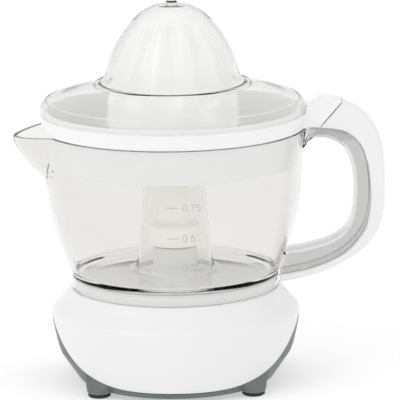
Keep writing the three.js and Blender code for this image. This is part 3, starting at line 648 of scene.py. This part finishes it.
def spindle_section(a):
    low, high = hexagon(4.2, a), hexagon(5.2, a)
    return rounded([
        (0, 21.6), (low - 0.5, 21.6), (low, 22.2), (low, 59.8), (8, 59.8, 0.4), (8, 85.4), (13.7, 85.4, 0.5),
        (13.7, 83.2, 0.3), (15.5, 83.2, 0.4), (15.4, 94.2, 1.0), (14.4, 95.6, 1.0), (9.9, 96.4, 1.0),
        (9.0, 98.4, 1.2), (8.4, 146.6, 0.4), (high, 146.6), (high, 193.6), (high - 1.2, 195), (0, 195)])


spindle = solid("juicer_spindle", *swept(spindle_section, circle_turns(144)))
finished(spindle, CREAM, "cream_plastic", "spindle", "spindle")


def spring_rows(low, high, turns, mean, wire):
    """Rings of points along a round-wire spring."""
    rows = []
    for i in range(turns * 36 + 1):
        a = i * TAU / 36
        z = low + (high - low) * i / (turns * 36)
        rows.append([((mean + wire * math.cos(b)) * math.cos(a), (mean + wire * math.cos(b)) * math.sin(a),
                      z + wire * math.sin(b)) for b in circle_turns(12)])
    return rows


SPRING_LOW = 47.2
spring = solid("juicer_return_spring", *skin(spring_rows(SPRING_LOW, 58.8, 4, 6.6, 0.53)))
finished(spring, STEEL, "zinc_steel", "base", "return_spring")
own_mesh(spring)


# ------------------------------------------------------------------ jug

SPOUT_STRAIGHT = 2.6                                # the spout keeps its full width this far down
SPOUT_DEPTH = 30                                    # and fades into the wall over this height
SPOUT_SOFT = 0.07                                   # a larger share blends it more softly into the wall
DIP_FROM = 125                                      # the rim's dip at the spout fades out here
GRIP_HALF = 9
COVER_HALF = 10.5
WALL_OUT = spline([(62.3, 67), (67.1, 80), (72.8, 97.5), (76.0, 115), (77.4, 135), (RIM_R, RIM_Z)], 40)


def wall_radius(z):
    for (r0, z0), (r1, z1) in zip(WALL_OUT, WALL_OUT[1:]):
        if z0 <= z <= z1:
            return r0 + (r1 - r0) * (z - z0) / (z1 - z0)
    return RIM_R if z > RIM_Z else WALL_OUT[0][0]


def spout_share(a):
    """1 at the middle of the spout, 0 from its sides on."""
    off = min(1.0, abs(a % TAU - math.pi) / SPOUT_HALF)
    return (1 - off ** 1.45) ** 1.22


def spout_bulge(a, z):
    """How far the spout stands out of the round wall."""
    down = max(0.0, (RIM_Z - SPOUT_STRAIGHT - z) / SPOUT_DEPTH) ** 1.6
    share = max(0.0, spout_share(a) - down)
    return (SPOUT_OUT - RIM_R) * (1 + SPOUT_SOFT) * share ** 2 / (share + SPOUT_SOFT)


def spout_lean(a, line, inwards=0.0):
    """A line of the wall's (radius, height) points with the spout's bulge and its dipping rim."""
    drop = SPOUT_DROP * spout_share(a)
    return [(r - inwards + spout_bulge(a, z), z - drop * max(0.0, (z - DIP_FROM) / (RIM_Z - DIP_FROM)))
            for r, z in line]


def jug_section(a):
    outer = spout_lean(a, WALL_OUT)
    inner = spout_lean(a, reversed(WALL_OUT[2:]), JUG_WALL)
    outer[-1] = (*outer[-1], 0.7)
    inner[0] = (*inner[0], 0.9)
    return rounded([
        (62.3, 57.6, 0.5), (62.3, 64.7), (62.3, 64.9), (62.3, 65.6), (62.3, 65.8), *outer, *inner,
        (58.4, 67.9, 3.5), (29, 67.9), (26.6, 68.2, 1.5), (24, 69.6, 2), (22.6, 74, 4), (18.4, 119),
        (18, 141, 0.7), (16.2, 141, 0.5), (16.4, 119), (20.4, 74), (23, 65, 1.5), (59.9, 65, 1.0),
        (59.9, 57.6, 0.5)])


def jug_turns():
    """Angles round the jug, closer together at the spout."""
    fine = [math.pi - SPOUT_HALF + i * 2 * SPOUT_HALF / 80 for i in range(81)]
    rest = (TAU - 2 * SPOUT_HALF) / 200
    return fine + [math.pi + SPOUT_HALF + i * rest for i in range(1, 200)]


GRIP_INSIDE = spline([(72.5, 139), (77.5, 141.8), (82.3, 147.4), (92.3, 147.8), (102.4, 141.6), (107.4, 127),
                      (107.7, 107.2), (104, 93.1), (94.3, 85.2), (80, 80.8), (66.5, 78.6), (62.8, 78.0)], 160)
GRIP_OUTSIDE = spline([(75, 154.3), (87.5, 154.3), (104.3, 151.3), (114.4, 139.6), (117.9, 121), (117.6, 103),
                       (113.6, 89.9), (102.1, 77.1), (83.9, 68.7), (62.9, 64.2), (60.6, 63.9)], 160)
COVER_BACK = spline([(101.8, 170.1), (112.7, 164), (122.2, 152.9), (126.4, 138), (127.2, 119), (126.2, 101),
                     (120.5, 87), (111.1, 77.2), (93, 67.3), (76, 61.9), (63.2, 59.9)], 160)


def grip_section(t, across):
    """A channel that is open at its back, where the cover closes it."""
    return rounded([
        (across, GRIP_HALF, 0.3), (across, 6.8, 0.3), (2.3, 6.8, 1.2), (2.3, -6.8, 1.2), (across, -6.8, 0.3),
        (across, -GRIP_HALF, 0.3), (across - 0.9, -GRIP_HALF), (across - 1.2, -GRIP_HALF),
        (0, -GRIP_HALF, 1.2), (0, GRIP_HALF, 1.2), (across - 1.2, GRIP_HALF), (across - 0.9, GRIP_HALF)], 4)


def grip_flare(x, z):
    """How much wider the grip's top gets where it runs into the jug's rim."""
    into = min(7.9, max(0.0, 85.8 - x)) * min(1.0, max(0.0, (z - 137) / 9))
    return 1 + (8 - math.sqrt(64 - into ** 2)) / 9


jug = solid("juicer_jug", *swept(jug_section, jug_turns()))
grip_points, grip_faces = lofted(GRIP_INSIDE, GRIP_OUTSIDE, grip_section, 90)
grip = solid("grip", [(x, y * grip_flare(x, z), z) for x, y, z in grip_points], grip_faces)


def inside_wall_section(a):
    return [(0, 69), *[(r - 1.2, z) for r, z in WALL_OUT[2:]], (78.3, 160), (0, 160)]


combine(grip, solid("inside_wall", *swept(inside_wall_section, circle_turns(120))), "DIFFERENCE")
combine(jug, grip, "UNION")
finished(jug, CLEAR, "clear_plastic", "jug", "jug")


def jug_tint(x, y, z):
    """Where a point of the jug lies among the tints: its column, wall, grip, or an edge seen end on. The
    column and floor take the lighter tint as painted light. The grip's lips, the rim's top, the floor's outer
    edge and the floor's corner take darker tints as painted shade.
    """
    r = math.hypot(x, y)
    outside = r - wall_radius(z) if x > 0 else 0.0
    rim_top = RIM_Z - SPOUT_DROP * spout_share(math.atan2(y, x))
    if outside > 0.3:
        # painted shade: the grip's lips take a dark tint
        lip_painted_line = abs(y) > 8.9 and outside > 2 and min(math.dist((x, z), p) for p in GRIP_OUTSIDE) < 1.0
        return LIP_PAINTED_SHADE if lip_painted_line else min(GRIP_TINT, WALL_TINT + outside / 10)
    # painted shade: the rim's top takes the nearly black edge tint
    if z > rim_top - 0.45 and r > RIM_R - 2.6:
        return EDGE_PAINTED_SHADE
    # painted shade: a dark band round the floor's outer edge
    floor_edge_painted_shade = r > 62 and 64.8 < z < 65.7
    if floor_edge_painted_shade:
        return LIP_PAINTED_SHADE
    # painted shade: the corner between the floor and the wall takes the darker grip tint
    floor_corner_painted_shade = 57.6 < r < 60 and 67.95 < z < 69
    if floor_corner_painted_shade:
        return GRIP_TINT
    # painted light: the column and the floor take the lighter column tint
    return COLUMN_PAINTED_LIGHT if r < 57.6 else WALL_TINT


share = jug.data.attributes.new("tint_share", "FLOAT", "POINT")
for i, vertex in enumerate(jug.data.vertices):
    share.data[i].value = jug_tint((vertex.co[0] - AXIS_X) / MM, vertex.co[1] / MM, vertex.co[2] / MM)


def cover_section(t, across):
    crown = min(1.4, 0.12 * across)
    return rounded([
        (0, COVER_HALF, 0.5), (0, -COVER_HALF, 0.5), (across - crown, -COVER_HALF, 2.6),
        (across - 0.25 * crown, -6, 3), (across, 0, 4), (across - 0.25 * crown, 6, 3),
        (across - crown, COVER_HALF, 2.6)], 4)


grip_back = offset(GRIP_OUTSIDE[16:-2], GAP)
COVER_FRONT = [(88.4, 154.8)] + [p for p in grip_back if p[0] > 63.4 and (p[0] > 89 or p[1] < 140)]
cover = solid("juicer_handle_cover", *lofted(COVER_FRONT, COVER_BACK, cover_section, 90))
finished(cover, WHITE, "white_plastic", "jug", "handle_cover")


# ------------------------------------------------------------------ volume scale on the jug

INK_WIDTH = 0.42
INK_LOW = 0.01                                      # the ink lies this far outside the wall
INK_HIGH = 0.07


def on_wall(across, z, lift):
    """A point on the front of the jug, `across` millimetres to the right of the drive axis."""
    r = wall_radius(z) + lift
    a = FRONT + across / r
    return (r * math.cos(a), r * math.sin(a), z)


def wall_patch(outline_at, columns):
    """A thin closed strip of ink on the jug's wall; outline_at(u, v) gives (across, z), with u along the
    strip and v across it, both from 0 to 1."""
    rows = []
    for i in range(columns + 1):
        near, far = outline_at(i / columns, 0), outline_at(i / columns, 1)
        rows.append([on_wall(*near, INK_LOW), on_wall(*far, INK_LOW), on_wall(*far, INK_HIGH),
                     on_wall(*near, INK_HIGH)])
    return solid("stroke", *skin(rows))


def stroke(points):
    """A bar along a polyline of (across, z) points, as one strip per leg."""
    made = []
    for (x0, z0), (x1, z1) in zip(points, points[1:]):
        length = math.hypot(x1 - x0, z1 - z0)
        nx, nz = -(z1 - z0) / length * INK_WIDTH / 2, (x1 - x0) / length * INK_WIDTH / 2
        made.append(wall_patch(lambda u, v: (
            x0 + (x1 - x0) * u + nx * (2 * v - 1), z0 + (z1 - z0) * u + nz * (2 * v - 1)), 4))
    return made


def round_glyph(cx, cz, half_w, half_h, width=INK_WIDTH, start=0.0, end=TAU, steps=20):
    """An oval stroke, whole or in part."""
    return wall_patch(lambda u, v: (
        cx + (half_w + width * (v - 0.5)) * math.cos(start + (end - start) * u),
        cz + (half_h + width * (v - 0.5)) * math.sin(start + (end - start) * u)), steps)


def digit(kind, x, z):
    """A 0, 2, 5, 7 or point, 4.4 mm tall, with its lower left corner at (x, z)."""
    if kind == "0":
        return [round_glyph(x + 1.3, z + 2.2, 1.2, 2.0)]
    if kind == ".":
        return [round_glyph(x + 0.3, z + 0.3, 0.16, 0.16, 0.3, steps=8)]
    if kind == "2":
        return [round_glyph(x + 1.3, z + 3.1, 1.15, 1.1, start=math.pi, end=-0.75, steps=12),
                *stroke([(x + 2.15, z + 2.4), (x + 0.2, z + 0.2), (x + 2.6, z + 0.2)])]
    if kind == "5":
        return [*stroke([(x + 2.4, z + 4.2), (x + 0.4, z + 4.2), (x + 0.3, z + 2.3)]),
                round_glyph(x + 1.1, z + 1.5, 1.25, 1.3, start=2.2, end=-2.6, steps=14)]
    return stroke([(x + 0.1, z + 4.2), (x + 2.5, z + 4.2), (x + 0.9, z + 0.1)])


marks = []
for height, label in ((83.2, "0.25"), (101.8, "0.5"), (120.5, "0.75")):
    marks += stroke([(-4.2, height), (2.8, height)])
    pen = 5.2
    for sign in label:
        marks += digit(sign, pen, height - 2.2)
        pen += 1.4 if sign == "." else 3.3
moulding_mark = round_glyph(-1.4, 71.4, 0.75, 1.0, 0.4, start=math.pi, end=TAU, steps=10)
marks.append(moulding_mark)
scale = joined("juicer_volume_scale", marks)
shade(scale)
finished(scale, INK, "grey_plastic", "jug")


# ------------------------------------------------------------------ strainer

def strainer_section(a):
    return rounded([
        (76.4, 155, 0.3), (BAND_R, 155, 0.5), (BAND_R, 163.5, 0.6), (76.9, 163.5, 0.3), (76.9, 166.5, 0.4),
        (75.3, 166.5, 0.6), (74.2, 157), (73.4, 150), (72.2, 139, 2.5), (70, 137, 2), (46, 136.7),
        (24, 136.4, 1), (21.2, 138, 1.5), (20.8, 147.4, 1), (12.8, 147.8, 0.4), (12.8, 151, 0.3),
        (10.8, 151, 0.3), (10.8, 145.6, 0.3), (18.9, 145.6, 0.5), (18.9, 129, 0.5), (20.8, 129, 0.5),
        (22, 134.4, 1), (69.5, 135, 1), (72.4, 133.4, 0.6), (74.2, 133.4, 0.6), (75.0, 147)])


SLOTS = 16
TAB_HALF = 10.5
TAB_FILLET = 8.0
TAB_FILLET_END = math.sqrt((BAND_R + TAB_FILLET) ** 2 - (TAB_HALF + TAB_FILLET) ** 2)


def tab_half(x):
    """Half the thumb tab's width, with a fillet where it runs into the round band."""
    into = min(TAB_FILLET, max(0.0, TAB_FILLET_END - x))
    return TAB_HALF + TAB_FILLET - math.sqrt(TAB_FILLET ** 2 - into ** 2)


def tab_section(t, across):
    """The thumb tab's section, dished on top."""
    dish = 1.1 * math.sin(math.pi * min(1.0, max(0.0, (t - 0.1) / 0.9)))
    return rounded([
        (0, TAB_HALF, 0.6), (0, -TAB_HALF, 0.6), (across - 0.5, -TAB_HALF, 2.2),
        (across - 0.1, -TAB_HALF * 0.78, 2), (across - 0.8 * dish, -TAB_HALF * 0.45, 2),
        (across - dish, 0, 3), (across - 0.8 * dish, TAB_HALF * 0.45, 2),
        (across - 0.1, TAB_HALF * 0.78, 2), (across - 0.5, TAB_HALF, 2.2)], 4)


strainer = solid("juicer_strainer", *swept(strainer_section, circle_turns(240)))
TAB_TOP = spline([(76.5, 166.0), (78, 166.5), (82.3, 167.4), (86.5, 170.0), (91, 172.2), (96, 171.2),
                  (101, 170.2)], 40)
tab_points, tab_faces = lofted([(76.6, 155), (87.6, 155)], TAB_TOP, tab_section, 90)
tab = solid("tab", [(x, y * tab_half(x) / TAB_HALF, z) for x, y, z in tab_points], tab_faces)
lid_room = solid("lid_room", *swept(lambda a: [(0, 163.6), (80.6, 163.6), (80.6, 190), (0, 190)],
                                    circle_turns(160)))
combine(tab, lid_room, "DIFFERENCE")
combine(strainer, tab, "UNION")
slots = [moved(solid("slot", *skin(shifted(slot_cutter(23, 2.4, 131, 141), 55.5, 0))),
               about_axis((i + 0.5) * TAU / SLOTS)) for i in range(SLOTS)]
combine(strainer, joined("slots", slots), "DIFFERENCE")
finished(strainer, PALE, "white_plastic", "strainer", "strainer")


# ------------------------------------------------------------------ reamer cone

CONE_OUT = spline([(39.3, 170), (36.6, 181), (34.7, 189), (31.2, 198), (25.3, 209.3), (18.5, 217.5),
                   (9, 223.2)], 48)
FLUTES = 10
FLUTE_DEPTH = 4.6


def flute_depth(z):
    """The flutes fade out at the cone's foot and at its tip."""
    foot = min(1.0, max(0.0, (z - 170) / 12))
    head = min(1.0, max(0.0, (221.2 - z) / 7))
    return FLUTE_DEPTH * math.sin(foot * math.pi / 2) * math.sin(head * math.pi / 2)


def cone_section(a):
    groove = (0.5 - 0.5 * math.cos(a * FLUTES)) ** 1.5
    outer = [(r - groove * flute_depth(z) * min(1.0, r / 22), z) for r, z in CONE_OUT]
    socket = hexagon(5.6, a, 1.0)
    return rounded([
        (37.4, 156.6, 0.4), (39.6, 156.6, 0.5), (39.6, 160), *outer, (5, 224.4), (0, 224.8), (0, 196.5),
        (socket, 196.5), (socket, 147), (9.4, 147), (9.4, 156.2), (12.8, 156.2, 0.3), (12.8, 158, 0.3),
        (10.2, 160, 1), (10.2, 207, 2), (18, 206, 2), (26, 192, 4), (30.2, 180, 4), (36.2, 170, 3)])


cone = solid("juicer_reamer_cone", *swept(cone_section, circle_turns(320)), sharp=40)
finished(cone, BRIGHT, "white_plastic", "cone", "reamer_cone")


# ------------------------------------------------------------------ lid

DOME = spline([(44.2, 182), (40.7, 186), (37.7, 196), (34.4, 203.4), (28.4, 213.4), (19.5, 223.4),
               (9, 228.9)], 44)
DOME_INSIDE = [(r - 1.9 * min(1.0, (231 - z) / 12), z - 0.95 - 0.5 * max(0.0, (z - 215) / 15))
               for r, z in reversed(DOME)]

lid = turned_piece("juicer_lid", [
    (78.0, 163.9, 0.4), (79.8, 163.9, 0.5), (79.8, 169.6, 3.2), (76.5, 172.2, 0.25), (76.0, 171.9, 0.2),
    (75.2, 172.4, 0.3), (68, 175.3, 8), (47.6, 181.0, 0.8), (46.6, 182.2, 0.6), *DOME, (4.2, 230, 0.8),
    (3.3, 230.1, 0.2), (3.0, 231.2, 0.5), (0, 231.3), (0, 228.2), *DOME_INSIDE,
    (42.6, 181.6, 1), (45.8, 180.2, 1), (67.4, 173.6, 8), (75.2, 170.6, 3), (78.0, 168.8, 2),
], steps=256, sharp=34)
finished(lid, LID_CLEAR, "clear_plastic", "lid", "lid")


# ------------------------------------------------------------------ CAD nodes that are shown

OF_SLOT = {
    "cream_plastic": CREAM,
    "gear_plastic": GEAR,
    "black_plastic": BLACK,
    "zinc_steel": STEEL,
    "core_iron": IRON,
    "copper_wire": COPPER,
    "pinion_brass": BRASS,
}
for cad_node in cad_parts.values():
    if cad_node.hide_render:
        continue
    slot = cad_node.data.materials[0].name.split(".")[0]
    cad_node.data.materials.clear()
    cad_node.data.materials.append(OF_SLOT[slot])
    shade(cad_node, 30)


# ------------------------------------------------------------------ floor, light and camera

FLOOR_HALF = 12
floor_corners = [(x * FLOOR_HALF, y * FLOOR_HALF, 0) for x, y in ((-1, -1), (1, -1), (1, 1), (-1, 1))]
floor_mesh = bpy.data.meshes.new("studio_floor")
floor_mesh.from_pydata(floor_corners, [], [(0, 1, 2, 3)])
floor = bpy.data.objects.new("studio_floor", floor_mesh)
bpy.context.scene.collection.objects.link(floor)
floor_paint, floor_tree, floor_shader = shader_of("studio_floor")
floor_tone = ramp(floor_tree, noise(floor_tree, 3.0, 2.0), (0.54, 0.54, 0.54, 1), (0.56, 0.56, 0.56, 1))
floor_tree.links.new(floor_tone, floor_shader.inputs["Base Color"])
floor_shader.inputs["Roughness"].default_value = 0.7
floor_shader.inputs["Emission Color"].default_value = (1, 1, 1, 1)
floor_shader.inputs["Emission Strength"].default_value = 0.46
floor_mesh.materials.append(floor_paint)

# The sky is white behind the object, a little darker low down in front, with a soft box at the front left.
world = bpy.data.worlds.new("studio")
bpy.context.scene.world = world
world.use_nodes = True
sky = world.node_tree
backdrop = sky.nodes["Background"]
where = sky.nodes.new("ShaderNodeTexCoord")
parts = sky.nodes.new("ShaderNodeSeparateXYZ")
sky.links.new(where.outputs["Generated"], parts.inputs["Vector"])
above = sky.nodes.new("ShaderNodeMixRGB")
above.inputs["Color2"].default_value = (1, 1, 1, 1)
sky.links.new(ramp(sky, parts.outputs["Y"], 0.0, 1.0, 0.0, 0.4), above.inputs["Fac"])
sky.links.new(ramp(sky, parts.outputs["Z"], 0.8, 1.0, 0.05, 0.7), above.inputs["Color1"])
facing = sky.nodes.new("ShaderNodeVectorMath")
facing.operation = "DOT_PRODUCT"
facing.inputs[1].default_value = Vector((-0.62, -0.5, 0.6)).normalized()
sky.links.new(where.outputs["Generated"], facing.inputs[0])
softbox = ramp(sky, facing.outputs["Value"], (0, 0, 0, 1), (0.7, 0.7, 0.7, 1), 0.84, 0.97)
glow = sky.nodes.new("ShaderNodeMixRGB")
glow.blend_type = "ADD"
glow.inputs["Fac"].default_value = 1.0
sky.links.new(above.outputs["Color"], glow.inputs["Color1"])
sky.links.new(softbox, glow.inputs["Color2"])
sky.links.new(glow.outputs["Color"], backdrop.inputs["Color"])
backdrop.inputs["Strength"].default_value = 0.88


LAMP_TARGET = Vector((0, 0, 0.1))


def lamp(name, at, size, power):
    light = bpy.data.lights.new(name, "AREA")
    light.shape = "RECTANGLE"
    light.size, light.size_y = size
    light.energy = power
    obj = bpy.data.objects.new(name, light)
    obj.location = at
    obj.rotation_mode = "QUATERNION"
    obj.rotation_quaternion = (LAMP_TARGET - Vector(at)).to_track_quat("-Z", "Y")
    bpy.context.scene.collection.objects.link(obj)


lamp("key_left", (-1.0, -0.9, 1.1), (0.9, 0.9), 1.4)
lamp("fill_right", (1.3, -0.8, 0.8), (0.8, 1.0), 2.1)
lamp("top", (0.0, 0.3, 1.6), (1.4, 1.4), 1.0)

CAMERA_AT = Vector((0.0001, -1.950, 0.5207))
PITCH = math.radians(11.916)
ROLL = math.radians(0.75)
LENS = 297
view_data = bpy.data.cameras.new("camera")
view_data.sensor_width = 36
view_data.lens = LENS
view_data.clip_start, view_data.clip_end = 0.05, 60
camera = bpy.data.objects.new("camera", view_data)
ahead = Vector((0, math.cos(PITCH), -math.sin(PITCH)))
right = Vector((1, 0, 0))
up = right.cross(ahead)
right_rolled = right * math.cos(ROLL) - up * math.sin(ROLL)
up_rolled = right * math.sin(ROLL) + up * math.cos(ROLL)
turn = Matrix((right_rolled, up_rolled, -ahead)).transposed()
camera.matrix_world = Matrix.Translation(CAMERA_AT) @ turn.to_4x4()
bpy.context.scene.collection.objects.link(camera)
bpy.context.scene.camera = camera
bpy.context.scene.view_settings.view_transform = "Standard"
cycles = bpy.context.scene.cycles
cycles.max_bounces = 32
cycles.transmission_bounces = 32
cycles.transparent_max_bounces = 32
cycles.diffuse_bounces = 8

bpy.context.view_layer.update()
